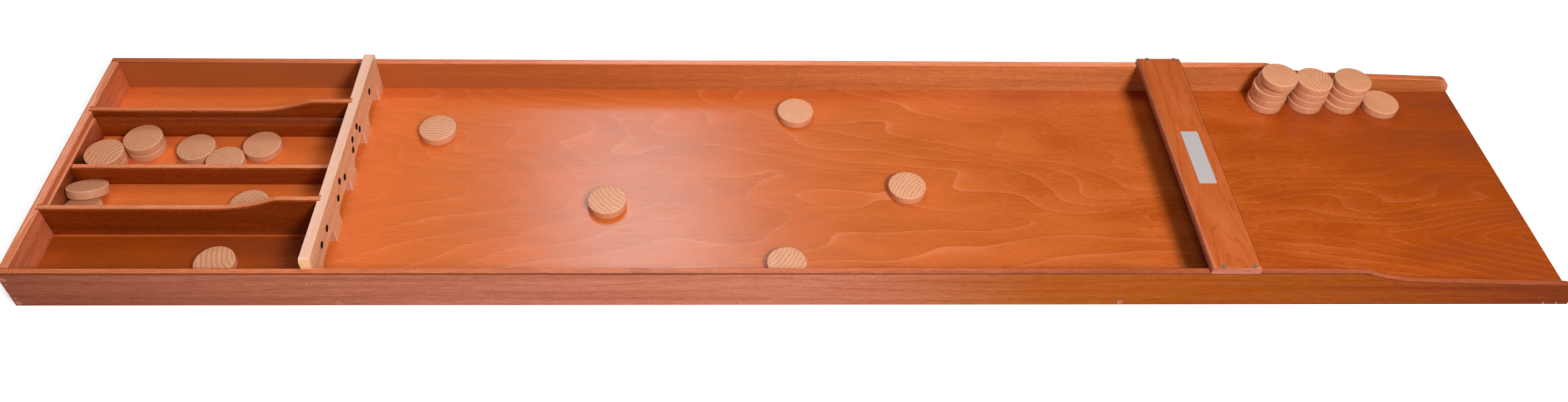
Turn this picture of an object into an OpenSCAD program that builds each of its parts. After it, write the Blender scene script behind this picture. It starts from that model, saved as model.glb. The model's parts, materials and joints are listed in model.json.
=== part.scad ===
// Dutch shuffleboard: a long low tray with four scoring pockets behind a gate board,
// a start bar across the throwing end, and thirty loose wooden discs.
// X runs along the board, pockets at -X and throwing end at +X. Z = 0 is the table.

/* [Board] */
// Length over all
board_l = 2000; // [1900:10:2200]
// Width over the two side rails
board_w = 410; // [400:2:440]
// Thickness of a side rail
rail_t = 10; // [9:0.5:12]
// Height of the side rails and the back wall
rail_h = 63; // [62:1:70]
// Thickness of the back wall
back_t = 11.5; // [10:0.5:16]
// Thickness of the plywood bed
bed_t = 4; // [3:0.5:6]
// How far the bed is let into rails and back wall
bed_let_in = 4; // [2:0.5:5]

/* [Rail at the throwing end] */
// Distance from the throwing end at which a rail begins to drop
drop_from_end = 296; // [280:1:340]
// Steepest slope of the drop, in degrees
drop_angle = 22; // [18:1:26]
// Radius of the rounded crest of the drop
crest_r = 30; // [15:1:60]
// Radius of the long hollow below the crest
hollow_r = 220; // [160:5:260]
// Slope of the low part of the rail, in degrees
low_slope = 2.2; // [1:0.1:3]
// Radius of the nose that ends a rail
nose_r = 20; // [10:1:24]

/* [Gate board] */
// Length of the pockets, from back wall to gate board
pocket_length = 360; // [350:1:400]
// Thickness of the gate board
gate_t = 14; // [12:0.5:18]
// Height of the gate board above the bed
gate_board_h = 66.5; // [65:0.5:76]
// Radius of its two upper corners
gate_corner_r = 6; // [2:0.5:10]
// Width of one gate
gate_w = 60.5; // [58:0.5:66]
// Height of one gate
gate_h = 23.8; // [18:0.2:26]
// Radius of a gate's upper corners
gate_r = 10; // [4:0.5:14]
// Wood between an outermost gate and the rail
end_leg_w = 26.3; // [22:0.1:30]
// How far the gate board is let into each rail
gate_let_in = 2.5; // [1:0.5:4]
// Diameter of a counting hole
pip_d = 10; // [6:0.5:10]
// Depth of a counting hole
pip_depth = 4; // [2:0.5:6]
// Height of a row of counting holes above or below the mean row
pip_row = 6.1; // [5.5:0.1:8]
// Mean row of the counting holes, from the middle of the wood over the gates
pip_mid = -1.6; // [-3:0.1:3]
// Half the distance between the two holes of gate two
two_pips_half = 14; // [10:0.5:20]
// Half the distance between the two lower holes of gate three
three_pips_half = 19.5; // [10:0.5:24]
// Half the distance between the two upper holes of gate four
four_pips_up_half = 13; // [8:0.1:24]
// Half the distance between the two lower holes of gate four
four_pips_low_half = 20.7; // [10:0.1:24]

/* [Dividers] */
// Thickness of a divider
divider_t = 10; // [8:0.5:12]
// Height of the low middle divider above the bed
middle_h = 31; // [24:1:36]
// Depth of the housings in the back wall
back_housing = 5; // [3:0.5:7]
// Depth of the housings in the gate board
gate_housing = 4; // [2:0.5:6]
// Offset of the far divider from the middle of its gate leg
far_shift = 2.2; // [-3:0.1:4]
// Length of the raised top next to the gate board
raised_l = 46; // [30:1:80]
// How far the raised top stays below the top of the gate board
raised_below = 0.5; // [0.2:0.1:2]
// Radius of the crest of the rise
rise_crest_r = 45; // [30:1:80]
// Radius of the hollow of the rise
rise_hollow_r = 230; // [150:5:300]
// Height of the lid groove above the top of the middle divider
lid_up = 5.4; // [2:0.2:12]
// Height of the lid groove
lid_h = 5.2; // [4:0.2:6]
// Depth of the lid groove
lid_depth = 3; // [2:0.5:4]

/* [Start bar] */
// Width of the start bar along the board
bar_w = 63; // [50:1:80]
// Thickness of the start bar
bar_t = 9; // [7:0.5:14]
// Distance of the start bar from the throwing end
bar_from_end = 426.5; // [400:0.5:480]
// Radius of its eased upper edges
bar_ease = 5.5; // [3:0.5:6.5]
// Bar screws: distance from the edge that faces the gates
gate_side_inset = 14.5; // [8:0.5:20]
// Bar screws: distance from the edge that faces the throwing end
end_side_inset = 8.5; // [6:0.5:14]
// Width of the bare plate on the bar
plate_w = 24; // [15:1:34]
// Length of the bare plate
plate_l = 100; // [60:1:160]
// Thickness of the bare plate
plate_t = 0.6; // [0.4:0.1:2]
// Radius of the plate's corners
plate_corner_r = 1.5; // [0.5:0.1:3]
// Middle of the plate from the middle of the bar, towards the throwing end
plate_along = 3.7; // [0:0.1:5]
// Middle of the plate from the middle of the bar, towards the far rail
plate_across = -5.6; // [-40:0.1:40]

/* [Battens] */
// Height of a batten under the bed
batten_h = 10; // [8:0.5:12]
// Width of a batten
batten_w = 40; // [30:1:60]
// First batten, from the front face of the gate board
gate_batten_off = 21.6; // [0:0.1:60]
// Third batten, from the middle of the start bar towards the gates
start_batten_off = 134; // [80:1:200]
// Second batten, from halfway between the first and the third
middle_batten_off = 4.5; // [-60:0.5:60]
// Last batten, its middle from the throwing end
end_batten_in = 25; // [25:1:60]

/* [Screws and pins] */
// Diameter of a screw shank
screw_d = 3; // [2.5:0.1:4]
// Diameter of a countersunk screw head
screw_head_d = 7; // [6:0.2:8]
// Height of a countersunk screw head
screw_head_h = 2.4; // [2:0.1:3]
// Length of a slot of the cross in a screw head
slot_l = 3.8; // [3:0.1:4.5]
// Width of a slot
slot_w = 0.8; // [0.6:0.1:1]
// Depth of a slot
slot_depth = 1.2; // [0.8:0.1:1.6]
// Length of a rail screw
screw_l = 35; // [25:1:45]
// Length of a start bar screw
bar_screw_l = 30; // [20:1:40]
// Diameter of a pin's head
pin_head_d = 3; // [2.5:0.1:4]
// Thickness of a pin's head
pin_head_h = 0.8; // [0.5:0.1:1]
// Diameter of a pin
pin_d = 1.6; // [1.2:0.1:2]
// Length of a pin
pin_l = 25; // [20:1:35]
// Lower back wall screw above the table
back_screw_low = 5.9; // [5:0.1:7]
// Upper back wall screw below the top of the wall
back_screw_down = 11.3; // [6:0.1:13]
// Lower back wall pin above the table
back_pin_low = 15; // [12.5:0.5:18]
// Upper back wall pin below the top of the wall
back_pin_down = 20; // [18:0.5:26]
// Batten screws below the top of a batten
batten_screw_down = 4.1; // [3.8:0.1:4.5]
// End batten pins above the table
end_pin_z = 3.3; // [3:0.1:5]
// Half the distance between the end batten's pins
end_pin_half = 8.5; // [5:0.5:12]
// Gate board screws above the top of the gates
gate_screw_over = 5.2; // [4.5:0.1:12]
// Room between a divider or the gate board and the sides of its housing
fit_room = 0.1; // [0.05:0.05:0.3]
// Room around a screw or pin in its hole
screw_room = 0.1; // [0.05:0.05:0.2]

/* [Discs] */
// Diameter of a disc
disc_d = 52; // [46:0.5:54]
// Thickness of a disc
disc_h = 12; // [10:0.5:12.5]
// Radius of a disc's eased rims
disc_ease = 1.2; // [0.5:0.1:2]
// Gap between a disc and the wall that it lies against
side_gap = 0.5; // [0.3:0.1:1]
// Gap left at each point where the leaning disc rests
lean_gap = 0.3; // [0.2:0.1:0.5]
// Discs in play: distance in front of the gate board
play_x = [98.8, 614.4, 763.8, 592.5, 351.1]; // [60:0.1:900]
// Discs in play: distance to the far side of their lane
play_off = [5, -2.6, -16, -16, 2.5]; // [-16:0.1:16]
// Pocket for four: gap between a disc and the pocket side it lies near
four_side = [3, 0.5, 6.7, 0.8, 1]; // [0.3:0.1:8]
// Pocket for four: gap between one disc and the next
four_gap = [0.6, 20, 1.6, 0.8]; // [0.3:0.1:24]
// Pocket for three: gap between its single disc and the gate board
three_to_gate = 88.4; // [10:0.1:150]
// Pocket for three: its single disc from the middle of the pocket, towards the middle divider
three_across = -5.9; // [-8:0.1:8]
// Pocket for two: gap between its disc and the gate board
two_to_gate = 105.3; // [10:0.1:250]
// Pocket for two: its disc from the middle of the pocket, towards the near divider
two_across = -6.8; // [-16:0.1:16]
// Throwing end: middle of the first stack from the end
stack_from_end = 289; // [280:1:320]
// Throwing end: gap between neighbouring stacks
stack_gap = [7.5, 4.5]; // [4.2:0.1:20]
// Throwing end: how far the top disc of the first stack is set back from the rail
stack_top_back = 4.5; // [0:0.5:8]
// Throwing end: how far the single disc is set back from the rail
spare_back = 9.8; // [0.5:0.1:20]
// Throwing end: gap between the single disc and the last stack
spare_gap = 0.7; // [0.5:0.1:20]

/* [Hidden] */
$fn = 64;
bed_top = batten_h + bed_t;
end_x = board_l / 2;
rail_in = board_w / 2 - rail_t;
back_in = -end_x + back_t;
gate_back = back_in + pocket_length;
gate_front = gate_back + gate_t;
gate_top = bed_top + gate_board_h;
bar_x = end_x - bar_from_end - bar_w / 2;
gate_pitch = (2 * rail_in - 2 * end_leg_w - gate_w) / 3;
far_y = gate_pitch + far_shift;
near_y = -gate_pitch;
raised_top = gate_top - raised_below;
groove_z = bed_top + middle_h + lid_up;

gate_batten_x = gate_front + gate_batten_off;
start_batten_x = bar_x - start_batten_off;
middle_batten_x = (gate_batten_x + start_batten_x) / 2 + middle_batten_off;
end_batten_x = end_x - end_batten_in;
screwed_battens = [gate_batten_x, middle_batten_x, start_batten_x];
bar_screw_x = [bar_x - bar_w / 2 + gate_side_inset, bar_x + bar_w / 2 - end_side_inset];
rail_mid = board_w / 2 - rail_t / 2;
back_mid = -end_x + back_t / 2;
gate_mid = (gate_back + gate_front) / 2;
back_screw_z = [back_screw_low, rail_h - back_screw_down];
back_pin_z = [back_pin_low, rail_h - back_pin_down];
batten_screw_z = batten_h - batten_screw_down;
gate_screw_z = bed_top + gate_h + gate_screw_over;

// Counting holes of the gates from the far rail to the near one: [across, row]
GATE_LANES = [1.5, 0.5, -0.5, -1.5];
PIPS = [
    [[0, 0]],
    [[-four_pips_up_half, 1], [four_pips_up_half, 1],
     [-four_pips_low_half, -1], [four_pips_low_half, -1]],
    [[0, 1], [-three_pips_half, -1], [three_pips_half, -1]],
    [[-two_pips_half, 0], [two_pips_half, 0]]
];
pip_z = bed_top + (gate_h + gate_board_h) / 2 + pip_mid;

// Points on a circle of radius r about c, from angle a0 to a1
function arc(c, r, a0, a1, n = 10) =
    [for (i = [0:n]) let (a = a0 + (a1 - a0) * i / n) c + r * [cos(a), sin(a)]];

// X of a disc that lies a gap away from one at x, when they are dy apart across the board
function beside(x, dy, gap) = x + sqrt(pow(disc_d + gap, 2) - dy * dy);

// The leaning disc touches bed, middle divider and the rim of the disc below:
// tan(t) = h / (span - h sin(t)), solved by repeating it
function lean(t, n) = n == 0 ? t : lean(atan(disc_h / (lean_span - disc_h * sin(t))), n - 1);

disc_r = disc_d / 2;
four_far = far_y - divider_t / 2 - disc_r;
four_near = divider_t / 2 + disc_r;
four_y = [four_near + four_side[0], four_far - four_side[1], four_far - four_side[2],
          four_near + four_side[3], four_far - four_side[4]];
pocket_x0 = back_in + disc_r + side_gap;
four_x1 = beside(pocket_x0, four_y[1] - four_y[0], four_gap[0]);
four_x2 = beside(four_x1, four_y[2] - four_y[1], four_gap[1]);
four_x3 = beside(four_x2, four_y[3] - four_y[2], four_gap[2]);
four_x4 = beside(four_x3, four_y[4] - four_y[3], four_gap[3]);

lower_y = near_y + divider_t / 2 + side_gap + disc_r;
lean_wall = -divider_t / 2 - lean_gap;
lean_span = lean_wall - (lower_y + disc_r);
lean_t = lean(20, 12);
lean_foot = lean_wall - disc_h * sin(lean_t);
lean_mid = [pocket_x0, lean_foot - disc_r * cos(lean_t), bed_top + lean_gap + disc_r * sin(lean_t)];

// How far each disc of a stack is out of line along the board, stack by stack
STACK_SWAY = [[-2, -0.5, -1, 2, 2.5], [-1, 0, 0.5, 0.5], [-3.5, -0.5, 0.5, 1.5]];
stack_x0 = end_x - stack_from_end;
stack_x1 = stack_x0 + disc_d + stack_gap[0];
stack_x2 = stack_x1 + disc_d + stack_gap[1];
stack_xs = [stack_x0, stack_x1, stack_x2];
stack_y = rail_in - disc_r - side_gap;
spare_x = beside(stack_x2 + STACK_SWAY[2][3], spare_back, spare_gap);
STACKS = ["tall_stack_disc_", "middle_stack_disc_", "end_stack_disc_"];

// Lane of each disc in play, in gate pitches from the middle line of the board
PLAY_LANES = [1, 1.5, 0, -1.5, -0.5];

function lying(name, x, y, layer) = [name, [x, y, bed_top + layer * disc_h], 0];
function in_play(i) = lying(str("play_disc_", i + 1), gate_front + play_x[i],
                            PLAY_LANES[i] * gate_pitch + play_off[i], 0);
function stacked(s, i) = lying(str(STACKS[s], i + 1), stack_xs[s] + STACK_SWAY[s][i],
                               stack_y - (s == 0 && i == 4 ? stack_top_back : 0), i);

// Every disc: name, middle of its underside, and lean in degrees
DISCS = concat(
    [for (i = [0:4]) in_play(i)],
    [
        lying("four_disc_1", pocket_x0, four_y[0], 0),
        lying("four_disc_2", pocket_x0, four_y[0], 1),
        lying("four_disc_3", four_x1, four_y[1], 0),
        lying("four_disc_4", four_x1, four_y[1], 1),
        lying("four_disc_5", four_x2, four_y[2], 0),
        lying("four_disc_6", four_x3, four_y[3], 0),
        lying("four_disc_7", four_x4, four_y[4], 0),
        lying("three_disc_1", pocket_x0, lower_y, 0),
        ["three_disc_2", lean_mid, lean_t],
        lying("three_disc_3", gate_back - disc_r - three_to_gate, near_y / 2 + three_across, 0),
        lying("two_disc_1", gate_back - disc_r - two_to_gate,
              (near_y - divider_t / 2 - rail_in) / 2 + two_across, 0)
    ],
    [for (s = [0:2]) for (i = [0:len(STACK_SWAY[s]) - 1]) stacked(s, i)],
    [lying("spare_disc", spare_x, stack_y - spare_back, 0)]
);

// A block between two opposite corners
module block(a, b) {
    translate(a) cube(b - a);
}

// Extrudes an outline drawn in X and Z through the thickness t, centred on y
module upright(y, t) {
    translate([0, y + t / 2, 0]) rotate([90, 0, 0]) linear_extrude(t) children();
}

// Extrudes an outline drawn in Y and Z from x0 to x1
module crosswise(x0, x1) {
    translate([x0, 0, 0]) rotate([90, 0, 90]) linear_extrude(x1 - x0) children();
}

// A countersunk wood screw, its head flush at z = 0 and its tip at -l
module screw(l, room = 0) {
    shank_r = screw_d / 2 + room;
    head_r = screw_head_d / 2 + room;
    translate([0, 0, -screw_head_h]) cylinder(h = screw_head_h, r1 = shank_r, r2 = head_r);
    translate([0, 0, -l + screw_d]) cylinder(h = l - screw_d - screw_head_h, r = shank_r);
    translate([0, 0, -l]) cylinder(h = screw_d, r1 = room, r2 = shank_r);
}

module driven_screw(l) {
    difference() {
        screw(l);
        for (a = [0, 90]) rotate([0, 0, a]) translate([-slot_l / 2, -slot_w / 2, -slot_depth])
            cube([slot_l, slot_w, slot_depth + 1]);
    }
}

// A pin with a thin flat head, flush at z = 0
module pin(room = 0) {
    translate([0, 0, -pin_head_h]) cylinder(h = pin_head_h, d = pin_head_d + 2 * room);
    translate([0, 0, -pin_l]) cylinder(h = pin_l - pin_head_h, d = pin_d + 2 * room);
}

// Puts what it is given at x and z on the outer face of a rail, pointing into the board
module through_rail(side, x, z) {
    translate([x, side * board_w / 2, z]) rotate([side < 0 ? 90 : -90, 0, 0]) children();
}

module batten_screw_places(side) {
    for (x = screwed_battens) through_rail(side, x, batten_screw_z) children();
}

module end_pin_places(side) {
    for (i = [-1, 1]) through_rail(side, end_batten_x + i * end_pin_half, end_pin_z) children();
}

module back_screw_places(side) {
    for (z = back_screw_z) through_rail(side, back_mid, z) children();
}

module back_pin_places(side) {
    for (z = back_pin_z) through_rail(side, back_mid, z) children();
}

module gate_screw_place(side) {
    through_rail(side, gate_mid, gate_screw_z) children();
}

module bar_screw_places(side) {
    for (x = bar_screw_x) translate([x, side * rail_mid, rail_h + bar_t]) children();
}

// Outline of a side rail: level, then a crest, a hollow, a gentle slope and a round nose
module rail_outline() {
    crest_end = [end_x - drop_from_end, rail_h - crest_r] + crest_r * [sin(drop_angle), cos(drop_angle)];
    hollow_c = crest_end + hollow_r * [sin(drop_angle), cos(drop_angle)];
    hollow_end = hollow_c - hollow_r * [sin(low_slope), cos(low_slope)];
    nose_x = end_x - nose_r;
    nose_z = hollow_end[1] - tan(low_slope) * (nose_x - hollow_end[0]) - nose_r / cos(low_slope);
    polygon(concat(
        [[-end_x, 0], [-end_x, rail_h]],
        arc([end_x - drop_from_end, rail_h - crest_r], crest_r, 90, 90 - drop_angle, 6),
        arc(hollow_c, hollow_r, 270 - drop_angle, 270 - low_slope, 12),
        arc([nose_x, nose_z], nose_r, 90 - low_slope, 0, 10),
        [[end_x, 0]]
    ));
}

module rail(side) {
    inner = side * rail_in;
    difference() {
        upright(side * rail_mid, rail_t) rail_outline();
        block([back_in - bed_let_in, min(inner, inner + side * bed_let_in), batten_h],
              [end_x + 1, max(inner, inner + side * bed_let_in), bed_top]);
        block([gate_back - fit_room, min(inner, inner + side * gate_let_in), bed_top],
              [gate_front + fit_room, max(inner, inner + side * gate_let_in), rail_h + 1]);
        batten_screw_places(side) screw(screw_l, screw_room);
        end_pin_places(side) pin(screw_room);
        back_screw_places(side) screw(screw_l, screw_room);
        back_pin_places(side) pin(screw_room);
        gate_screw_place(side) screw(screw_l, screw_room);
        bar_screw_places(side) screw(bar_screw_l, screw_room);
    }
}

module near_rail() {
    color("sienna") rail(-1);
}

module far_rail() {
    color("sienna") rail(1);
}

module bed_panel() {
    let_in = rail_in + bed_let_in;
    color("peru") block([back_in - bed_let_in, -let_in, batten_h], [end_x, let_in, bed_top]);
}

// Top of the housing of the divider at y: open to the given height, but stopped over the low middle divider
function housing_top(y, open_to) = y == 0 ? bed_top + middle_h + fit_room : open_to;

module back_wall() {
    color("sienna") difference() {
        block([-end_x, -rail_in, 0], [back_in, rail_in, rail_h]);
        block([back_in - bed_let_in, -rail_in - 1, batten_h], [back_in + 1, rail_in + 1, bed_top]);
        for (y = [far_y, 0, near_y]) {
            half = divider_t / 2 + fit_room;
            block([back_in - back_housing, y - half, bed_top], [back_in + 1, y + half, housing_top(y, rail_h + 1)]);
        }
        block([back_in - lid_depth, near_y, groove_z], [back_in + 1, far_y, groove_z + lid_h]);
        for (side = [-1, 1]) {
            back_screw_places(side) screw(screw_l, screw_room);
            back_pin_places(side) pin(screw_room);
        }
    }
}

// Opening of one gate, its foot on the bed
module gate_opening() {
    half = gate_w / 2;
    translate([-half, bed_top - 1]) square([gate_w, gate_h - gate_r + 1]);
    translate([-half + gate_r, bed_top - 1]) square([gate_w - 2 * gate_r, gate_h + 1]);
    for (s = [-1, 1]) translate([s * (half - gate_r), bed_top + gate_h - gate_r]) circle(gate_r);
}

module gate_board_outline() {
    half = rail_in + gate_let_in - fit_room;
    difference() {
        union() {
            translate([-half, bed_top]) square([2 * half, gate_board_h - gate_corner_r]);
            translate([-half + gate_corner_r, bed_top])
                square([2 * (half - gate_corner_r), gate_board_h]);
            for (s = [-1, 1]) translate([s * (half - gate_corner_r), gate_top - gate_corner_r])
                circle(gate_corner_r);
        }
        for (lane = GATE_LANES) translate([lane * gate_pitch, 0]) gate_opening();
    }
}

module gate_board() {
    color("burlywood") difference() {
        crosswise(gate_back, gate_front) gate_board_outline();
        for (g = [0:3]) for (p = PIPS[g])
            translate([gate_front - pip_depth, GATE_LANES[g] * gate_pitch + p[0], pip_z + p[1] * pip_row])
                rotate([0, 90, 0]) cylinder(h = pip_depth + 1, d = pip_d);
        for (y = [far_y, 0, near_y]) {
            half = divider_t / 2 + fit_room;
            block([gate_back - 1, y - half, bed_top - 1],
                  [gate_back + gate_housing, y + half, housing_top(y, gate_top + 1)]);
        }
        for (side = [-1, 1]) gate_screw_place(side) screw(screw_l, screw_room);
    }
}

// Outline of an outer divider: level with the back wall, then a hollow and a crest up to its raised top
module outer_divider_outline() {
    x0 = back_in - back_housing;
    x1 = gate_back + gate_housing;
    crest_x = gate_back - raised_l;
    turn = acos(1 - (raised_top - rail_h) / (rise_crest_r + rise_hollow_r));
    hollow_x = crest_x - (rise_crest_r + rise_hollow_r) * sin(turn);
    polygon(concat(
        [[x0, bed_top], [x0, rail_h]],
        arc([hollow_x, rail_h + rise_hollow_r], rise_hollow_r, 270, 270 + turn, 10),
        arc([crest_x, raised_top - rise_crest_r], rise_crest_r, 90 + turn, 90, 6),
        [[x1, raised_top], [x1, bed_top]]
    ));
}

// An outer divider, with the lid groove in the side that faces the middle
module outer_divider(y) {
    face = y - sign(y) * divider_t / 2;
    groove = face + sign(y) * lid_depth;
    color("sienna") difference() {
        upright(y, divider_t) outer_divider_outline();
        block([back_in - lid_depth, min(face - sign(y), groove), groove_z],
              [gate_back, max(face - sign(y), groove), groove_z + lid_h]);
    }
}

module far_divider() {
    outer_divider(far_y);
}

module near_divider() {
    outer_divider(near_y);
}

module middle_divider() {
    color("sienna") block([back_in - back_housing, -divider_t / 2, bed_top],
                          [gate_back + gate_housing, divider_t / 2, bed_top + middle_h]);
}

// Section of a bar from a to b and height h, with its upper corners eased
module eased_section(a, b, h, ease_a, ease_b) {
    difference() {
        square([b - a, h]);
        if (ease_a) corner_waste(0, h, 1);
        if (ease_b) corner_waste(b - a, h, -1);
    }
}

// What is planed off a corner at (x, h): a square less a quarter circle
module corner_waste(x, h, dir) {
    translate([x, h]) difference() {
        translate([dir < 0 ? -bar_ease : -1, -bar_ease]) square(bar_ease + 1);
        translate([dir * bar_ease, -bar_ease]) circle(bar_ease);
    }
}

module start_bar() {
    half = board_w / 2;
    color("sienna") difference() {
        intersection() {
            translate([bar_x - bar_w / 2, half, rail_h]) rotate([90, 0, 0])
                linear_extrude(board_w) eased_section(0, bar_w, bar_t, true, false);
            translate([bar_x - bar_w / 2, -half, rail_h]) rotate([90, 0, 90])
                linear_extrude(bar_w) eased_section(0, board_w, bar_t, true, true);
        }
        for (side = [-1, 1]) bar_screw_places(side) screw(bar_screw_l, screw_room);
    }
}

module bare_plate() {
    inner = [plate_w, plate_l] - 2 * plate_corner_r * [1, 1];
    color("silver") translate([bar_x + plate_along, plate_across, rail_h + bar_t])
        linear_extrude(plate_t) {
            square([plate_w, inner[1]], center = true);
            square([inner[0], plate_l], center = true);
            for (sx = [-1, 1]) for (sy = [-1, 1])
                translate([sx * inner[0] / 2, sy * inner[1] / 2]) circle(plate_corner_r);
        }
}

// A batten under the bed, from rail to rail, less the holes that it is given
module batten(x) {
    color("burlywood") difference() {
        block([x - batten_w / 2, -rail_in, 0], [x + batten_w / 2, rail_in, batten_h]);
        for (side = [-1, 1]) {
            batten_screw_places(side) screw(screw_l, screw_room);
            end_pin_places(side) pin(screw_room);
        }
    }
}

module gate_batten() {
    batten(gate_batten_x);
}

module middle_batten() {
    batten(middle_batten_x);
}

module start_batten() {
    batten(start_batten_x);
}

module end_batten() {
    batten(end_batten_x);
}

module bar_screws() {
    color("silver") for (side = [-1, 1]) bar_screw_places(side) driven_screw(bar_screw_l);
}

module back_wall_screws() {
    color("silver") for (side = [-1, 1]) back_screw_places(side) driven_screw(screw_l);
}

module gate_board_screws() {
    color("silver") for (side = [-1, 1]) gate_screw_place(side) driven_screw(screw_l);
}

module batten_screws() {
    color("silver") for (side = [-1, 1]) batten_screw_places(side) driven_screw(screw_l);
}

module back_wall_pins() {
    color("silver") for (side = [-1, 1]) back_pin_places(side) pin();
}

module end_batten_pins() {
    color("silver") for (side = [-1, 1]) end_pin_places(side) pin();
}

// A disc turned about its axis, standing on z = 0, with eased rims
module disc(place, tilt) {
    e = disc_ease;
    color("wheat") translate(place) rotate([-tilt, 0, 0]) rotate_extrude()
        polygon(concat(
            [[0, 0]],
            arc([disc_r - e, e], e, -90, 0, 4),
            arc([disc_r - e, disc_h - e], e, 0, 90, 4),
            [[0, disc_h]]
        ));
}

bed_panel();
near_rail();
far_rail();
back_wall();
gate_board();
far_divider();
middle_divider();
near_divider();
start_bar();
bare_plate();
gate_batten();
middle_batten();
start_batten();
end_batten();
bar_screws();
back_wall_screws();
gate_board_screws();
batten_screws();
back_wall_pins();
end_batten_pins();
for (d = DISCS) disc(d[1], d[2]);
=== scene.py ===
import json
import math
import bmesh
import bpy
import numpy as np
from mathutils import Matrix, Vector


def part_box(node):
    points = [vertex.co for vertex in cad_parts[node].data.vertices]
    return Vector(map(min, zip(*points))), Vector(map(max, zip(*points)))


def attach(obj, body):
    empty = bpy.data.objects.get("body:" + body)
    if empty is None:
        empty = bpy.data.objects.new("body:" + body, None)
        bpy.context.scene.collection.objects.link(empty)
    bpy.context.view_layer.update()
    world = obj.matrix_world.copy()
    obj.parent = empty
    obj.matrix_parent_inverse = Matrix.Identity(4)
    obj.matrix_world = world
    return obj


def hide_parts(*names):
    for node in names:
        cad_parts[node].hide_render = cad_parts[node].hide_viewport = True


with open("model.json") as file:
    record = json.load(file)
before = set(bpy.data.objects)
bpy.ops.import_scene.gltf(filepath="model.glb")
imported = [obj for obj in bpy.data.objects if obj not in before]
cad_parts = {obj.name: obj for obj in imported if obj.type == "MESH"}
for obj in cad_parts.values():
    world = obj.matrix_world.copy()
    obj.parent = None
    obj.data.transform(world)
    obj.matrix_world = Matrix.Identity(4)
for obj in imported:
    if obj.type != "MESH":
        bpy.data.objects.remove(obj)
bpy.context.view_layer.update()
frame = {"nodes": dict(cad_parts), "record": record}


# The bed is one long sheet of beech plywood, stained orange-brown and lacquered satin. It is let into the
# rails and the back wall and lies on four battens. Its face is peeled from the log, so its grain stands in
# wide arches.
class Wire:
    """A shader socket that arithmetic works on: each operation adds its Math node to the same tree."""

    def __init__(self, tree, socket):
        self.tree = tree
        self.socket = socket

    def node(self, kind, settings, inputs, output=0):
        """Adds a node: its settings first, then the values or links of its sockets, by name or number."""
        made = self.tree.nodes.new("ShaderNode" + kind)
        for name, value in settings.items():
            if name == "stops":
                made.color_ramp.elements.remove(made.color_ramp.elements[1])
                made.color_ramp.elements[0].position = value[0][0]
                made.color_ramp.elements[0].color = (*value[0][1], 1.0)
                for place, colour in value[1:]:
                    made.color_ramp.elements.new(place).color = (*colour, 1.0)
            else:
                setattr(made, name, value)
        for name, value in inputs.items():
            if isinstance(value, Wire):
                self.tree.links.new(value.socket, made.inputs[name])
            else:
                made.inputs[name].default_value = value
        return Wire(self.tree, made.outputs[output] if made.outputs else None)

    def out(self, name):
        """Another output of the node that this socket belongs to."""
        return Wire(self.tree, self.socket.node.outputs[name])

    def math(self, operation, *values):
        return self.node("Math", {"operation": operation}, dict(enumerate(values)))

    def ramp(self, stops):
        """The colour that the stops give to this value."""
        return self.node("ValToRGB", {"stops": stops}, {"Fac": self})

    def mixed(self, share, other):
        """This colour, with the given share of another."""
        return self.node("Mix", {"data_type": "RGBA"}, {0: share, 6: self, 7: other}, 2)

    def __add__(self, other):
        return self.math("ADD", self, other)

    def __sub__(self, other):
        return self.math("SUBTRACT", self, other)

    def __rsub__(self, other):
        return self.math("SUBTRACT", other, self)

    def __mul__(self, other):
        return self.math("MULTIPLY", self, other)

    def __truediv__(self, other):
        return self.math("DIVIDE", self, other)

    def __rtruediv__(self, other):
        return self.math("DIVIDE", other, self)

    def __pow__(self, other):
        return self.math("POWER", self, other)

    def __rpow__(self, other):
        return self.math("POWER", other, self)

    __radd__ = __add__
    __rmul__ = __mul__


def new_finish(name, wiring, **fixed):
    """A Principled material: wiring gives the links of its sockets by name, and fixed the sockets that are
    the same all over."""
    finish = bpy.data.materials.new(name)
    finish.use_nodes = True
    finish.node_tree.nodes.clear()
    start = Wire(finish.node_tree, None)
    steady = {socket.replace("_", " "): value for socket, value in fixed.items()}
    surface = start.node("BsdfPrincipled", {}, {**steady, **wiring(start)})
    start.node("OutputMaterial", {}, {"Surface": surface})
    return finish


def dress(piece, *finishes):
    piece.data.materials.clear()
    for finish in finishes:
        piece.data.materials.append(finish)


def spots(place, size, detail=2.0):
    """Noise less 0.5, times 4, so mostly within 1 either way of 0. Its spots have the given size in metres
    along X, Y and Z."""
    shares = [1.0 / length for length in size]
    scaled = place.node("Mapping", {}, {"Vector": place, "Scale": shares})
    return (place.node("TexNoise", {}, {"Vector": scaled, "Scale": 1.0, "Detail": detail}) - 0.5) * 4.0


def above(value, edge, soft):
    """0 below edge, 1 from soft above it, and straight between them. A negative soft turns this round."""
    part = (value - edge) / soft
    return part.node("Clamp", {}, {"Value": part, "Min": 0.0, "Max": 1.0})


def bump(height, lift):
    """A normal bent by height, where 1 stands for lift metres."""
    return height.node("Bump", {}, {"Height": height, "Distance": lift, "Strength": 1.0})


LEAST_SLOPE = 3.0


def arches(along, across, sway, waist, foot, steep, tips_before, tips_after):
    """Rings of a board cut flat from the log. The ring number is h = A sqrt(1 + (v / b)²) - g(u) + sway,
    with v the distance from the arches' axis, and g growing with the square of the distance u from their
    waist. Gives the part of h after its whole number, and the slope of h in rings a metre, which turns such
    a part into metres."""
    u = along - waist
    before = u.math("MINIMUM", u, 0.0)
    after = u.math("MAXIMUM", u, 0.0)
    root = (1.0 + (across / foot) ** 2.0) ** 0.5
    rings = steep * root - tips_before * before * before - tips_after * after * after + sway
    side = steep / foot ** 2 * across / root
    run = 2.0 * (tips_before * before + tips_after * after)
    slope = (side * side + run * run + LEAST_SLOPE ** 2) ** 0.5
    return rings.math("FRACT", rings), slope


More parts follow.
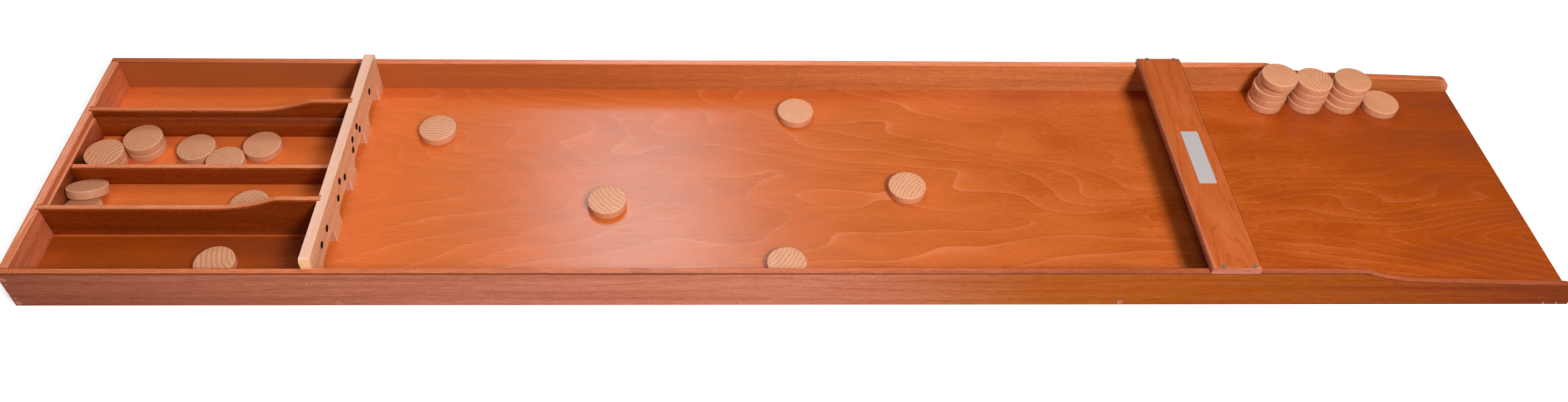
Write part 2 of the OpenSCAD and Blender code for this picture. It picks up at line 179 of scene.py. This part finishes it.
BED_AXIS = -0.045
BED_SLANT = -0.06
BED_TONES = [(0.0, (0.28, 0.050, 0.011)), (0.2, (0.39, 0.064, 0.003)), (0.38, (0.53, 0.117, 0.021)),
             (0.5, (0.60, 0.133, 0.026)), (0.7, (0.71, 0.154, 0.030)), (1.0, (0.88, 0.205, 0.056))]
PALE_LINE_TONE = (0.90, 0.36, 0.20, 1.0)
PALE_LINE_FADE = 520.0
DARK_SEAM_FADE = 260.0
PLY_TONES = [(0.0, (0.42, 0.16, 0.05)), (0.32, (0.16, 0.05, 0.015)), (0.37, (0.26, 0.09, 0.03)),
             (0.63, (0.16, 0.05, 0.015)), (0.68, (0.42, 0.16, 0.05))]
POCKETS_END = -0.625
POCKET_SOFT = 0.005
bed_low, bed_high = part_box("bed_panel")
near_divider_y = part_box("near_divider")[0].y


def peeled_veneer(start):
    """Wide arches of a peeled veneer, narrower towards the player. A thin pale line is mixed in where one
    ring ends, with a darker seam before it, and both are faint at the two ends and far from the arches'
    axis. Fine fibres, streaks and clouds lie along X. The tone is painted darker towards the player, in the
    near pocket and by the stacks: painted shade where less light falls. The sawn end shows three plies."""
    place = start.node("TexCoord", {}, {}, "Object")
    x = place.node("SeparateXYZ", {}, {"Vector": place})
    y = x.out("Y")
    teeth = spots(place, (0.045, 0.0030, 1.0), 1.0)
    sway = spots(place, (0.30, 0.09, 1.0), 1.0)
    across = y - BED_SLANT * x - BED_AXIS + 0.012 * sway
    to_player = above(x, 0.1, 0.5)
    ring, slope = arches(x + 0.003 * teeth, across, 1.3 * sway, waist=0.40, foot=0.028 - 0.016 * to_player,
                         steep=0.85, tips_before=7.0, tips_after=15.0)
    fading = 1.0 / (1.0 + (across / 0.10) ** 4.0 * above(x, 0.2, 0.3))
    pale_line = math.e ** (ring / slope * -PALE_LINE_FADE)
    dark_seam = math.e ** ((1.0 - ring) / slope * -DARK_SEAM_FADE)
    fibre = spots(place, (0.010, 0.0008, 1.0))
    streak = spots(place, (0.07, 0.0035, 1.0))
    cloud = spots(place, (0.14, 0.05, 1.0))
    clear = (0.2 + 0.8 * fading) * (1.0 - 0.6 * to_player) * (0.8 + 0.3 * cloud) * above(x, -0.75, 0.25)
    figure = 0.12 * fibre + 0.03 * streak + 0.10 * cloud - 0.19 * clear * (0.35 * dark_seam + 0.25 * ring)
    # Painted shade: the tone falls towards the player's end, in the near pocket and by the stacks.
    painted_shade_near_pocket = above(x, POCKETS_END, -POCKET_SOFT) * above(y, near_divider_y, -POCKET_SOFT)
    painted_shade_by_stacks = above(x, 0.6, 0.2) * above(y, 0.0, 0.1)
    tone = 0.48 - 0.34 * x - 0.66 * painted_shade_near_pocket - 0.10 * painted_shade_by_stacks + figure
    face = tone.ramp(BED_TONES).mixed(0.33 * clear * pale_line, PALE_LINE_TONE)
    layer = (x.out("Z") - bed_low.z) / (bed_high.z - bed_low.z)
    at_sawn_end = above(x, bed_high.x - 0.0004, 0.0001)
    return {
        "Base Color": face.mixed(at_sawn_end, layer.ramp(PLY_TONES)),
        "Roughness": 0.27 + 0.03 * streak,
        "Normal": bump(fibre + streak, 0.00002),
    }


dress(frame["nodes"]["bed_panel"], new_finish("stained_plywood", peeled_veneer, IOR=1.38))


# Four battens of planed beech lie across the underside of the bed, between the rails. Three are screwed
# through the rails, the last is held by pins, and none of them was stained.
def sawn_beech(place):
    """Tone of sawn beech with its fibres along X, around 0, and its short dark rays from 0 to 1. Rings are
    planes that lie askew to the board and wander: h = (0.4 y + z) / 16 mm + noise, darkest where h passes a
    whole number."""
    y = place.node("SeparateXYZ", {}, {"Vector": place}, "Y")
    rings = (0.4 * y + y.out("Z")) / 0.016 + 0.8 * spots(place, (0.40, 0.05, 0.05), 1.0)
    ring = rings.math("FRACT", rings)
    late = ring ** 6.0
    band = spots(place, (0.50, 0.012, 0.012))
    fibre = spots(place, (0.020, 0.0008, 0.0008))
    rays = above(spots(place, (0.0045, 0.0008, 0.0008), 0.0), 0.25, 0.5)
    return 0.12 * band + 0.16 * fibre - 0.12 * late, rays


def beech_finish(name, tones, turned=False, ray_depth=0.30, shade=(0.0, 0.0, 0.0), end_tones=None, **fixed):
    """Sawn beech in the given tones, its fibres along X, or along Y if the board is turned. Its tone is
    raised by shade, a quadratic of the place along X: a constant, a factor of x and one of its square. The
    factors of x and of its square paint the rise and fall of the light along the rails: painted light and
    painted shade. End tones, if given, take over from the middle of the board towards the player."""
    lift, drift, bow = shade

    def wiring(start):
        place = start.node("TexCoord", {}, {}, "Object")
        x = place.node("SeparateXYZ", {}, {"Vector": place})
        if turned:
            place = place.node("Mapping", {}, {"Vector": place, "Rotation": (0.0, 0.0, math.pi / 2)})
        tone, rays = sawn_beech(place)
        full = tone - ray_depth * rays + (0.5 + lift + drift * x + bow * x * x)
        colour = full.ramp(tones)
        if end_tones:
            colour = colour.mixed(above(x, 0.0, 0.30), full.ramp(end_tones))
        return {
            "Base Color": colour,
            "Roughness": 0.36 + 0.08 * tone,
            "Normal": bump(tone - 0.3 * rays, 0.00006),
        }
    return new_finish(name, wiring, **fixed)


PLAIN_TONES = [(0.0, (0.36, 0.20, 0.10)), (0.5, (0.58, 0.37, 0.21)), (1.0, (0.74, 0.52, 0.33))]
plain_beech = beech_finish("plain_beech", PLAIN_TONES, turned=True)
for node in ("gate_batten", "middle_batten", "start_batten", "end_batten"):
    dress(frame["nodes"][node], plain_beech)


# The side rails are planed beech, stained red-brown. Towards the player they drop in a curve to a low end
# with a round nose, and their edges are sanded round by hand, which thins the stain on the far rail's
# eased edges; the near rail's eased edges are dark. Their tops are painted lighter than their sides, and
# their tones rise and fall along their length: painted light and painted shade where the lamps fall.
# Lighter stain tones: those of sanded edges and of the back wall, and of tops painted lighter where light
# falls.
LIGHT_STAIN_TONES = [(0.0, (0.33, 0.072, 0.024)), (0.5, (0.74, 0.20, 0.080)), (1.0, (0.97, 0.48, 0.29))]
DARK_TONES = [(0.0, (0.06, 0.010, 0.002)), (1.0, (0.26, 0.06, 0.016))]
# The near rail's outer face: its pinker tones away from the player's end are a painted reflection of the pale
# floor, and its tone rises to the middle and falls to both ends, painted light. Its own gloss is nearly off.
# The end tones hold its plainer colour towards the player.
NEAR_SHEEN_TONES = [(0.1, (0.15, 0.035, 0.012)), (0.54, (0.304, 0.088, 0.047)), (0.75, (0.408, 0.138, 0.087)),
              (1.0, (0.50, 0.19, 0.125))]
NEAR_END_TONES = [(0.1, (0.13, 0.018, 0.0004)), (0.3, (0.196, 0.033, 0.0005)), (0.6, (0.275, 0.062, 0.005)),
                  (1.0, (0.38, 0.12, 0.03))]
FAR_TONES = [(0.0, (0.45, 0.12, 0.03)), (0.5, (0.78, 0.28, 0.09)), (1.0, (0.90, 0.45, 0.26))]
# The far rail's sanded edges, and the far divider's top painted lighter where light falls on it.
sanded_and_lit_beech = beech_finish("sanded_and_lit_beech", LIGHT_STAIN_TONES, ray_depth=0.12, IOR=1.35)
dark_beech = beech_finish("dark_beech", DARK_TONES, IOR=1.2)
near_sheen_beech = beech_finish("near_rail_sheen_beech", NEAR_SHEEN_TONES, ray_depth=0.12, shade=(0.245, -0.10, -0.50),
                          end_tones=NEAR_END_TONES, IOR=1.08)
near_lit_top_beech = beech_finish("near_lit_top_beech", LIGHT_STAIN_TONES, ray_depth=0.15, shade=(-0.25, -0.24, 0.0),
                              IOR=1.25)
# The far rail's tone rises and falls along it, painted light and painted shade; its top is painted lighter.
far_beech = beech_finish("far_rail_beech", FAR_TONES, ray_depth=0.2, shade=(-0.28, 0.30, -0.40), IOR=1.45)
far_lit_top_beech = beech_finish("far_lit_top_beech", LIGHT_STAIN_TONES, ray_depth=0.12, shade=(0.14, 0.0, -0.35),
                             IOR=1.45)
SAME_POINT = 0.000002
STILL_FLAT = math.radians(0.5)
SHARP_TURN = math.radians(28)
SHORTEST_EASED = 0.001
LOOKS_UP = 0.8


def eased_copy(node, radius, chosen, finishes, segments=4, top_from=0.0):
    """A copy of a CAD node with long edges eased. Its loose triangles are merged and flat neighbours
    dissolved. chosen takes the arrays x, y, z of the edges' middles and says which of the sharp ones are
    eased. The finishes are those of the sides, of the faces that look up from the height top_from on, and
    of the eased edges; the second lets the tops be painted lighter than the sides, painted light."""
    work = bmesh.new()
    work.from_mesh(frame["nodes"][node].data)
    bmesh.ops.remove_doubles(work, verts=work.verts, dist=SAME_POINT)
    bmesh.ops.dissolve_limit(work, angle_limit=STILL_FLAT, verts=work.verts, edges=work.edges)
    turn = np.array([edge.calc_face_angle(0.0) for edge in work.edges])
    mesh = bpy.data.meshes.new(node + "_eased")
    work.to_mesh(mesh)
    work.free()
    points = np.empty(len(mesh.vertices) * 3)
    mesh.vertices.foreach_get("co", points)
    ends = np.empty(len(mesh.edges) * 2, int)
    mesh.edges.foreach_get("vertices", ends)
    a, b = points.reshape(-1, 3)[ends.reshape(-1, 2)].transpose(1, 0, 2)
    long_enough = np.linalg.norm(b - a, axis=1) > SHORTEST_EASED
    picked = (turn > SHARP_TURN) & long_enough & chosen(*((a + b) / 2).T)
    weights = mesh.attributes.new("bevel_weight_edge", "FLOAT", "EDGE")
    weights.data.foreach_set("value", picked.astype(np.float32))
    mesh.shade_smooth()
    mesh.set_sharp_from_angle(angle=SHARP_TURN)
    piece = bpy.data.objects.new(node + "_eased", mesh)
    bpy.context.scene.collection.objects.link(piece)
    dress(piece, *finishes)
    normals = np.empty(len(mesh.polygons) * 3)
    middles = np.empty(len(mesh.polygons) * 3)
    mesh.polygons.foreach_get("normal", normals)
    mesh.polygons.foreach_get("center", middles)
    # Faces that look up take the second finish, which paints the tops lighter: painted light.
    on_top = (normals.reshape(-1, 3)[:, 2] > LOOKS_UP) & (middles.reshape(-1, 3)[:, 2] > top_from)
    mesh.polygons.foreach_set("material_index", on_top.astype(np.int32))
    easing = piece.modifiers.new("easing", "BEVEL")
    easing.limit_method = "WEIGHT"
    easing.width = radius
    easing.segments = segments
    easing.use_clamp_overlap = False
    easing.harden_normals = True
    easing.material = 2
    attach(piece, "board")
    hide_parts(node)
    return piece


SAME_PLACE = 0.00002


def near(values, *places):
    """True where a value is one of the places, to a fiftieth of a millimetre."""
    return np.min([np.abs(values - place) for place in places], axis=0) < SAME_PLACE


RAIL_EASE = 0.0012
RAIL_DROP = 0.300
level_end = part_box("far_rail")[1].x - RAIL_DROP
rail_finishes = {"near_rail": (near_sheen_beech, near_lit_top_beech, dark_beech),
                 "far_rail": (far_beech, far_lit_top_beech, sanded_and_lit_beech)}
for node, finishes in rail_finishes.items():
    low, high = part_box(node)
    outer, inner = (low.y, high.y) if low.y < 0 else (high.y, low.y)

    def rail_edges(x, y, z):
        top = near(z, high.z) | (x > level_end)
        return near(y, outer) | (near(y, inner) & top) | (near(x, low.x) & near(z, high.z))

    eased_copy(node, RAIL_EASE, rail_edges, finishes)


# The back wall stands between the rails, of the same stained beech. The outer dividers drop into its open
# housings from above, the low middle one sits in a closed housing, and the groove between the outer two
# takes the edge of a lid.
WALL_EASE = 0.0010
GROOVE_FOOT = 0.0504
GROOVE_SLACK = 0.0003
wall_low, wall_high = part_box("back_wall")
wall_beech = beech_finish("wall_beech", LIGHT_STAIN_TONES, turned=True, ray_depth=0.10, shade=(-0.09, 0.0, 0.0),
                          IOR=1.4)
# The top, its eased edges and the groove's lower edge take a lighter copy of the wall's stain: painted sheen
# on the top and a painted highlight along the edges.
wall_lit_beech = beech_finish("wall_lit_beech", LIGHT_STAIN_TONES, turned=True, ray_depth=0.12,
                              shade=(0.16, 0.0, 0.0), IOR=1.5)


def wall_edges(x, y, z):
    groove_ledge = near(x, wall_high.x) & (np.abs(z - GROOVE_FOOT) < GROOVE_SLACK)
    return near(z, wall_high.z) & near(x, wall_low.x, wall_high.x) | groove_ledge


eased_copy("back_wall", WALL_EASE, wall_edges, (wall_beech, wall_lit_beech, wall_lit_beech))


# The gate board is left pale under clear lacquer. Four gates are cut in its foot, and holes drilled in its
# face, painted dark inside, count them: one, four, three and two. It is let into both rails and screwed
# through them.
GATE_EASE = 0.0012
GATE_HEAD = 0.0379
HOLE_DEPTH = 0.004
HOLES_FROM = 0.044
HOLES_TO = 0.074
HOLES_REACH = 0.18
FACE_SKIN = 0.0001
PALE_TONES = [(0.0, (0.45, 0.19, 0.10)), (0.5, (0.84, 0.45, 0.30)), (1.0, (0.97, 0.61, 0.47))]
GATE_FACE_TONES = [(0.0, (0.36, 0.15, 0.06)), (0.5, (0.80, 0.42, 0.235)), (1.0, (0.95, 0.58, 0.38))]
HOLE_TONE = (0.03, 0.010, 0.005, 1.0)
# The top and the eased edges take lighter tones than the faces: painted light from above.
pale_beech = beech_finish("pale_beech", PALE_TONES, turned=True, ray_depth=0.14, shade=(0.28, 0.0, 0.0),
                          IOR=1.45)
gate_face_beech = beech_finish("gate_face_beech", GATE_FACE_TONES, turned=True, shade=(0.03, 0.0, 0.0),
                               IOR=1.3)
painted_hole = new_finish("painted_hole", lambda start: {"Base Color": HOLE_TONE}, Roughness=0.8, IOR=1.1)
gate_low, gate_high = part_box("gate_board")


def gate_board_edges(x, y, z):
    on_face = near(x, gate_low.x, gate_high.x) & (z > bed_high.z + 0.001)
    return on_face & (near(z, gate_high.z) | (z < GATE_HEAD))


gate_finishes = (gate_face_beech, pale_beech, pale_beech)
gate_piece = eased_copy("gate_board", GATE_EASE, gate_board_edges, gate_finishes)
gate_piece.data.materials.append(painted_hole)
face_middles = np.empty(len(gate_piece.data.polygons) * 3)
gate_piece.data.polygons.foreach_get("center", face_middles)
face_x, face_y, face_z = face_middles.reshape(-1, 3).T
in_hole = ((face_x > gate_high.x - HOLE_DEPTH - FACE_SKIN) & (face_x < gate_high.x - FACE_SKIN)
           & (face_z > HOLES_FROM) & (face_z < HOLES_TO) & (np.abs(face_y) < HOLES_REACH))
face_finish = np.empty(len(in_hole), np.int32)
gate_piece.data.polygons.foreach_get("material_index", face_finish)
gate_piece.data.polygons.foreach_set("material_index", np.where(in_hole, 3, face_finish))


# Three dividers part the pockets. The outer two rise in a curve to the top of the gate board and have a
# groove for the lid; the middle one is low. They are stained beech, glued into their housings. Their
# tops and chamfers take lighter copies of the stain than their faces: painted light.
DIVIDER_EASE = 0.0018
DIVIDER_TOP_REACH = 0.025
STAIN_TONES = [(0.0, (0.20, 0.026, 0.001)), (0.5, (0.46, 0.090, 0.014)), (1.0, (0.66, 0.20, 0.065))]
# Painted light: the tops and chamfers are lighter copies of the faces' stain.
divider_lit_top_beech = beech_finish("divider_lit_top_beech", LIGHT_STAIN_TONES, ray_depth=0.12, shade=(0.12, 0.0, 0.0), IOR=1.3)
divider_beech = beech_finish("divider_beech", STAIN_TONES, shade=(-0.40, 0.0, 0.0), IOR=1.3)
divider_chamfer_beech = beech_finish("divider_chamfer_beech", STAIN_TONES, shade=(-0.20, 0.0, 0.0), IOR=1.3)
for node in ("far_divider", "middle_divider", "near_divider"):
    low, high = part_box(node)

    def divider_edges(x, y, z):
        return near(y, low.y, high.y) & (z > min(wall_high.z, high.z) - 0.0001)

    top_beech = sanded_and_lit_beech if node == "far_divider" else divider_lit_top_beech
    eased_copy(node, DIVIDER_EASE, divider_edges, (divider_beech, top_beech, divider_chamfer_beech),
               segments=1, top_from=high.z - DIVIDER_TOP_REACH)


# The start bar is stained beech and lies across both rails, held by two screws at each end. Its edge towards
# the gates and its two ends are planed round; the edge towards the player is left nearly sharp.
BAR_EASE = 0.0008
DARK_LINE_FADE = 700.0
BAR_EDGE_TONES = [(0.0, (0.22, 0.05, 0.020)), (0.5, (0.38, 0.11, 0.060)), (1.0, (0.52, 0.18, 0.11))]
bar_low, bar_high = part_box("start_bar")


def bar_edges(x, y, z):
    return near(z, bar_high.z) & near(x, bar_high.x)


def flat_sawn(start):
    """Stained beech cut flat from the log: its arches lie along Y, and each ring ends in a thin dark line."""
    place = start.node("TexCoord", {}, {}, "Object")
    x = place.node("SeparateXYZ", {}, {"Vector": place})
    sway = spots(place, (0.02, 0.09, 0.09), 1.0)
    fibre = spots(place, (0.0008, 0.020, 0.0008))
    across = x - (bar_low.x + bar_high.x) / 2 + 0.003 * sway
    ring, slope = arches(x.out("Y"), across, 0.5 * sway, waist=0.24, foot=0.010, steep=0.8,
                         tips_before=16.0, tips_after=16.0)
    dark_line = math.e ** ((1.0 - ring) / slope * -DARK_LINE_FADE)
    tone = 0.56 + 0.14 * fibre + 0.08 * sway - 0.22 * dark_line
    return {"Base Color": tone.ramp(STAIN_TONES), "Roughness": 0.38 + 0.03 * sway}


bar_beech = new_finish("bar_beech", flat_sawn, IOR=1.45)
bar_edge_beech = beech_finish("bar_edge_beech", BAR_EDGE_TONES, turned=True, IOR=1.3)
eased_copy("start_bar", BAR_EASE, bar_edges, (bar_edge_beech, bar_beech, dark_beech))


# The plate is thin satin metal, brushed along its length, and its face is bare. It is stuck on the start
# bar with its long side along the bar.
PLATE_TONE = (0.66, 0.60, 0.61, 1.0)


def brushed(start):
    """Plain metal, its gloss broken by hairs along Y that are 0.3 mm wide."""
    place = start.node("TexCoord", {}, {}, "Object")
    hair = spots(place, (0.0003, 0.02, 1.0))
    return {"Base Color": PLATE_TONE, "Roughness": 0.38 + 0.05 * hair}


dress(frame["nodes"]["bare_plate"], new_finish("satin_plate", brushed, Metallic=0.35))


# Countersunk screws hold rails, back wall, gate board, battens and start bar together. They are zinc plated,
# with a cross in the head; small pins stand beside them. Those in the rails have taken on some of the stain.
BAR_SCREW_TONES = [(0.0, (0.27, 0.14, 0.07)), (1.0, (0.60, 0.38, 0.23))]
RAIL_SCREW_TONES = [(0.0, (0.18, 0.055, 0.028)), (1.0, (0.60, 0.26, 0.16))]


def zinc(tones):
    """Zinc with dull spots of about a millimetre, in the given tones."""

    def wiring(start):
        place = start.node("TexCoord", {}, {}, "Object")
        dull = spots(place, (0.0012, 0.0012, 0.0012))
        share = 0.5 + 0.3 * dull
        return {"Base Color": share.ramp(tones), "Roughness": 0.42 + 0.1 * dull}
    return wiring


dress(frame["nodes"]["bar_screws"], new_finish("zinc", zinc(BAR_SCREW_TONES), Metallic=0.6))
stained_zinc = new_finish("stained_zinc", zinc(RAIL_SCREW_TONES), Metallic=0.4, IOR=1.3)
for node in ("back_wall_screws", "gate_board_screws", "batten_screws", "back_wall_pins", "end_batten_pins"):
    dress(frame["nodes"][node], stained_zinc)


# Thirty discs are turned from beech with the fibres along their axis, so each face shows its own cut through
# the growth rings. They lie loose on the bed, in the pockets and in stacks; their rims are rounded.
DISC_EASE = 0.0012
CORNER_STEPS = 7
DISC_STEPS = 96
DISC_SHARP_TURN = math.radians(40)
RING_WIDTHS = (0.0030, 0.0064)
PITH_AWAY = (0.035, 0.11)
END_TONES = [(0.0, (0.30, 0.095, 0.036)), (0.5, (0.65, 0.262, 0.124)), (1.0, (0.82, 0.43, 0.26))]
luck = np.random.default_rng(30)


def end_grain(start):
    """Rings round a pith outside the disc: h = distance / ring width + noise. Each ring ends in a dark line.
    Rays run outwards from the pith, pores are fine spots drawn out along the axis, and the rounded rim is
    painted pale, a painted highlight where it catches the light. The flank, 1 on the side of the disc and 0
    on its faces, shows the rings less and is painted a touch darker, painted shade."""
    place = start.node("Attribute", {"attribute_name": "from_pith"}, {}, "Vector")
    width = start.node("Attribute", {"attribute_name": "ring_width"}, {}, "Fac")
    flank = start.node("Attribute", {"attribute_name": "flank"}, {}, "Fac")
    x = place.node("SeparateXYZ", {}, {"Vector": place})
    distance = (x * x + x.out("Y") * x.out("Y")) ** 0.5
    angle = x.math("ARCTAN2", x.out("Y"), x)
    rings = distance / width + 0.22 * spots(place, (0.012, 0.012, 0.20))
    ring = rings.math("FRACT", rings)
    late = ring ** 4.0
    # Painted highlight on the rounded rim; the flank is painted a touch darker, painted shade.
    rim = 2.0 * flank * (1.0 - flank * flank) ** 0.5
    pore = spots(place, (0.0007, 0.0007, 0.006))
    round_pith = x.node("CombineXYZ", {}, {0: distance, 1: angle, 2: x.out("Z")})
    rays = spots(round_pith, (0.008, 0.010, 0.02))
    cloud = spots(place, (0.015, 0.015, 0.05))
    tone = (0.73 - (0.58 - 0.44 * flank) * late + 0.09 * pore + 0.06 * rays + 0.06 * cloud + 0.22 * rim
            - 0.02 * flank)
    return {
        "Base Color": tone.ramp(END_TONES),
        "Roughness": 0.44 + 0.06 * late,
        "Normal": bump(pore - late, 0.00005),
    }


disc_beech = new_finish("disc_beech", end_grain, IOR=1.45)


def turned_disc(across, thick):
    """A section carried round the axis: radius and height run round a rectangle with rounded corners, and
    the angle round the circle. Both flat faces close the two innermost rings. Gives the points, how far each
    belongs to the flank, and the faces."""
    bend = np.radians(np.linspace(0, 90, CORNER_STEPS))
    outwards = np.concatenate([np.sin(bend), np.cos(bend)])
    radius = across / 2 - DISC_EASE + DISC_EASE * outwards
    height = np.concatenate([DISC_EASE - DISC_EASE * np.cos(bend),
                             thick - DISC_EASE + DISC_EASE * np.sin(bend)])
    angle = np.arange(DISC_STEPS) * 2 * np.pi / DISC_STEPS
    grid = np.stack([np.outer(radius, np.cos(angle)), np.outer(radius, np.sin(angle)),
                     np.outer(height, np.ones(DISC_STEPS))], axis=-1)
    row, column = np.meshgrid(np.arange(len(radius) - 1), np.arange(DISC_STEPS), indexing="ij")
    after = (column + 1) % DISC_STEPS
    quads = np.stack([row * DISC_STEPS + column, row * DISC_STEPS + after,
                      (row + 1) * DISC_STEPS + after, (row + 1) * DISC_STEPS + column], axis=-1)
    under = np.arange(DISC_STEPS)[::-1]
    over = (len(radius) - 1) * DISC_STEPS + np.arange(DISC_STEPS)
    flank = np.repeat(outwards, DISC_STEPS)
    return grid.reshape(-1, 3), flank, [*quads.reshape(-1, 4).tolist(), under.tolist(), over.tolist()]


def lean_in(box_size, disc_size):
    """How far a disc leans about X, from what its box measures along Y and Z. Without its rounded corners it
    is w wide and t thick, and leaning by a it reaches w cos a + t sin a along Y and w sin a + t cos a along
    Z, which gives a."""
    wide, thick = disc_size - 2 * DISC_EASE
    reach_y, reach_z = box_size - 2 * DISC_EASE
    return -math.atan2(wide * reach_z - thick * reach_y, wide * reach_y - thick * reach_z)


flat_low, flat_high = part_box("play_disc_1")
across = flat_high.x - flat_low.x
thick = flat_high.z - flat_low.z
for body, members in frame["record"]["behaviour"]["bodies"].items():
    if body == "board":
        continue
    low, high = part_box(members[0])
    middle = np.array((low + high) / 2)
    lean = lean_in(np.array([high.y - low.y, high.z - low.z]), np.array([across, thick]))
    points, flank, faces = turned_disc(across, thick)
    way = luck.uniform(0, 2 * np.pi)
    pith = np.array([luck.uniform(*PITH_AWAY), 0.0, luck.uniform(0.0, 1.0)])
    turn = np.array([[np.cos(way), -np.sin(way), 0], [np.sin(way), np.cos(way), 0], [0, 0, 1]])
    from_pith = points @ turn + pith
    tilt = np.array([[1, 0, 0], [0, math.cos(lean), -math.sin(lean)], [0, math.sin(lean), math.cos(lean)]])
    placed = (points - [0, 0, thick / 2]) @ tilt.T + middle
    mesh = bpy.data.meshes.new(body + "_turned")
    mesh.from_pydata(placed.tolist(), [], faces)
    mesh.attributes.new("from_pith", "FLOAT_VECTOR", "POINT").data.foreach_set("vector", from_pith.ravel())
    width = mesh.attributes.new("ring_width", "FLOAT", "POINT")
    width.data.foreach_set("value", np.full(len(points), luck.uniform(*RING_WIDTHS)))
    mesh.attributes.new("flank", "FLOAT", "POINT").data.foreach_set("value", flank)
    mesh.shade_smooth()
    mesh.set_sharp_from_angle(angle=DISC_SHARP_TURN)
    piece = bpy.data.objects.new(body + "_turned", mesh)
    bpy.context.scene.collection.objects.link(piece)
    dress(piece, disc_beech)
    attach(piece, body)
    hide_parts(members[0])


# The board stands on a pale floor under soft studio lights. The key light stands in front, on the right.
# Weaker ones stand above, behind, in front and on the left, and the gloss of a small one lies on the bed.
FLOOR_REACH = 8
FLOOR_TONE = (0.88, 0.88, 0.88, 1.0)
WARM_WHITE = (1.0, 0.96, 0.93)
floor_corners = [(-FLOOR_REACH, -FLOOR_REACH, 0), (FLOOR_REACH, -FLOOR_REACH, 0),
                 (FLOOR_REACH, FLOOR_REACH, 0), (-FLOOR_REACH, FLOOR_REACH, 0)]
floor_mesh = bpy.data.meshes.new("floor")
floor_mesh.from_pydata(floor_corners, [], [(0, 1, 2, 3)])
floor = bpy.data.objects.new("floor", floor_mesh)
bpy.context.scene.collection.objects.link(floor)
dress(floor, new_finish("pale_floor", lambda start: {"Base Color": FLOOR_TONE}, Roughness=0.9,
                        Emission_Color=(1.0, 1.0, 1.0, 1.0), Emission_Strength=0.55))


def soft_light(name, place, target, size, power, colour, spread=180.0):
    """A rectangular light at a place, turned towards its target. Its beam opens by spread degrees."""
    light = bpy.data.lights.new(name, "AREA")
    light.shape = "RECTANGLE"
    light.size, light.size_y = size
    light.energy = power
    light.color = colour
    light.spread = math.radians(spread)
    lamp = bpy.data.objects.new(name, light)
    bpy.context.scene.collection.objects.link(lamp)
    away = np.subtract(place, target)
    away = away / np.linalg.norm(away)
    side = np.cross((0.0, 0.0, 1.0), away)
    side = side / np.linalg.norm(side)
    stand = np.eye(4)
    stand[:3, :3] = np.column_stack([side, np.cross(away, side), away])
    stand[:3, 3] = place
    lamp.matrix_world = Matrix(stand.tolist())


soft_light("gloss_light", (-0.42, 1.60, 1.80), (-0.21, -0.06, 0.0), (0.50, 0.65), 1.35, (0.42, 0.82, 1.0),
           60.0)
soft_light("key_light", (0.90, -1.60, 1.90), (0.40, 0.10, 0.03), (0.6, 0.6), 63.0, WARM_WHITE)
soft_light("top_light", (0.65, 0.25, 2.30), (0.45, 0.0, 0.0), (0.6, 0.6), 11.0, WARM_WHITE)
soft_light("back_light", (-0.30, 1.10, 2.10), (-0.8, 0.0, 0.0), (0.6, 0.6), 13.0, WARM_WHITE)
soft_light("front_light", (-0.15, -1.30, 0.40), (-0.15, 0.0, 0.03), (0.8, 0.4), 2.2, (1.0, 0.96, 0.92))
soft_light("left_light", (-1.30, -1.40, 1.70), (-0.9, 0.1, 0.03), (0.6, 0.6), 1.1, WARM_WHITE, 75.0)
world = bpy.data.worlds.new("room")
world.use_nodes = True
world.node_tree.nodes["Background"].inputs["Color"].default_value = (1.0, 1.0, 1.0, 1.0)
world.node_tree.nodes["Background"].inputs["Strength"].default_value = 0.02
bpy.context.scene.world = world
bpy.context.scene.view_settings.view_transform = "Standard"


# The camera stands where the photograph was taken: its place, turn and focal length were fitted to the
# straight edges of the board and to the rims of the discs. Focal length and middle are in its pixels.
IMAGE_W = 2510
IMAGE_H = 644
FOCAL = 1915.96
MIDDLE_X = 1214.48
MIDDLE_Y = 298.09
SENSOR = 36.0
CAMERA_PLACE = (-0.0987, -1.1555, 1.2211)
azimuth, elevation, roll = np.radians([2.1288, 46.3976, 1.6261])
sight = np.array([math.sin(azimuth) * math.cos(elevation), math.cos(azimuth) * math.cos(elevation),
                  -math.sin(elevation)])
level = np.array([math.cos(azimuth), -math.sin(azimuth), 0.0])
rise = np.cross(level, sight)
camera_data = bpy.data.cameras.new("camera")
camera_data.sensor_width = SENSOR
camera_data.lens = SENSOR * FOCAL / IMAGE_W
camera_data.shift_x = (IMAGE_W / 2 - MIDDLE_X) / IMAGE_W
camera_data.shift_y = (MIDDLE_Y - IMAGE_H / 2) / IMAGE_W
camera = bpy.data.objects.new("camera", camera_data)
bpy.context.scene.collection.objects.link(camera)
stand = np.eye(4)
stand[:3, 0] = math.cos(roll) * level + math.sin(roll) * rise
stand[:3, 1] = -math.sin(roll) * level + math.cos(roll) * rise
stand[:3, 2] = -sight
stand[:3, 3] = CAMERA_PLACE
camera.matrix_world = Matrix(stand.tolist())
bpy.context.scene.camera = camera
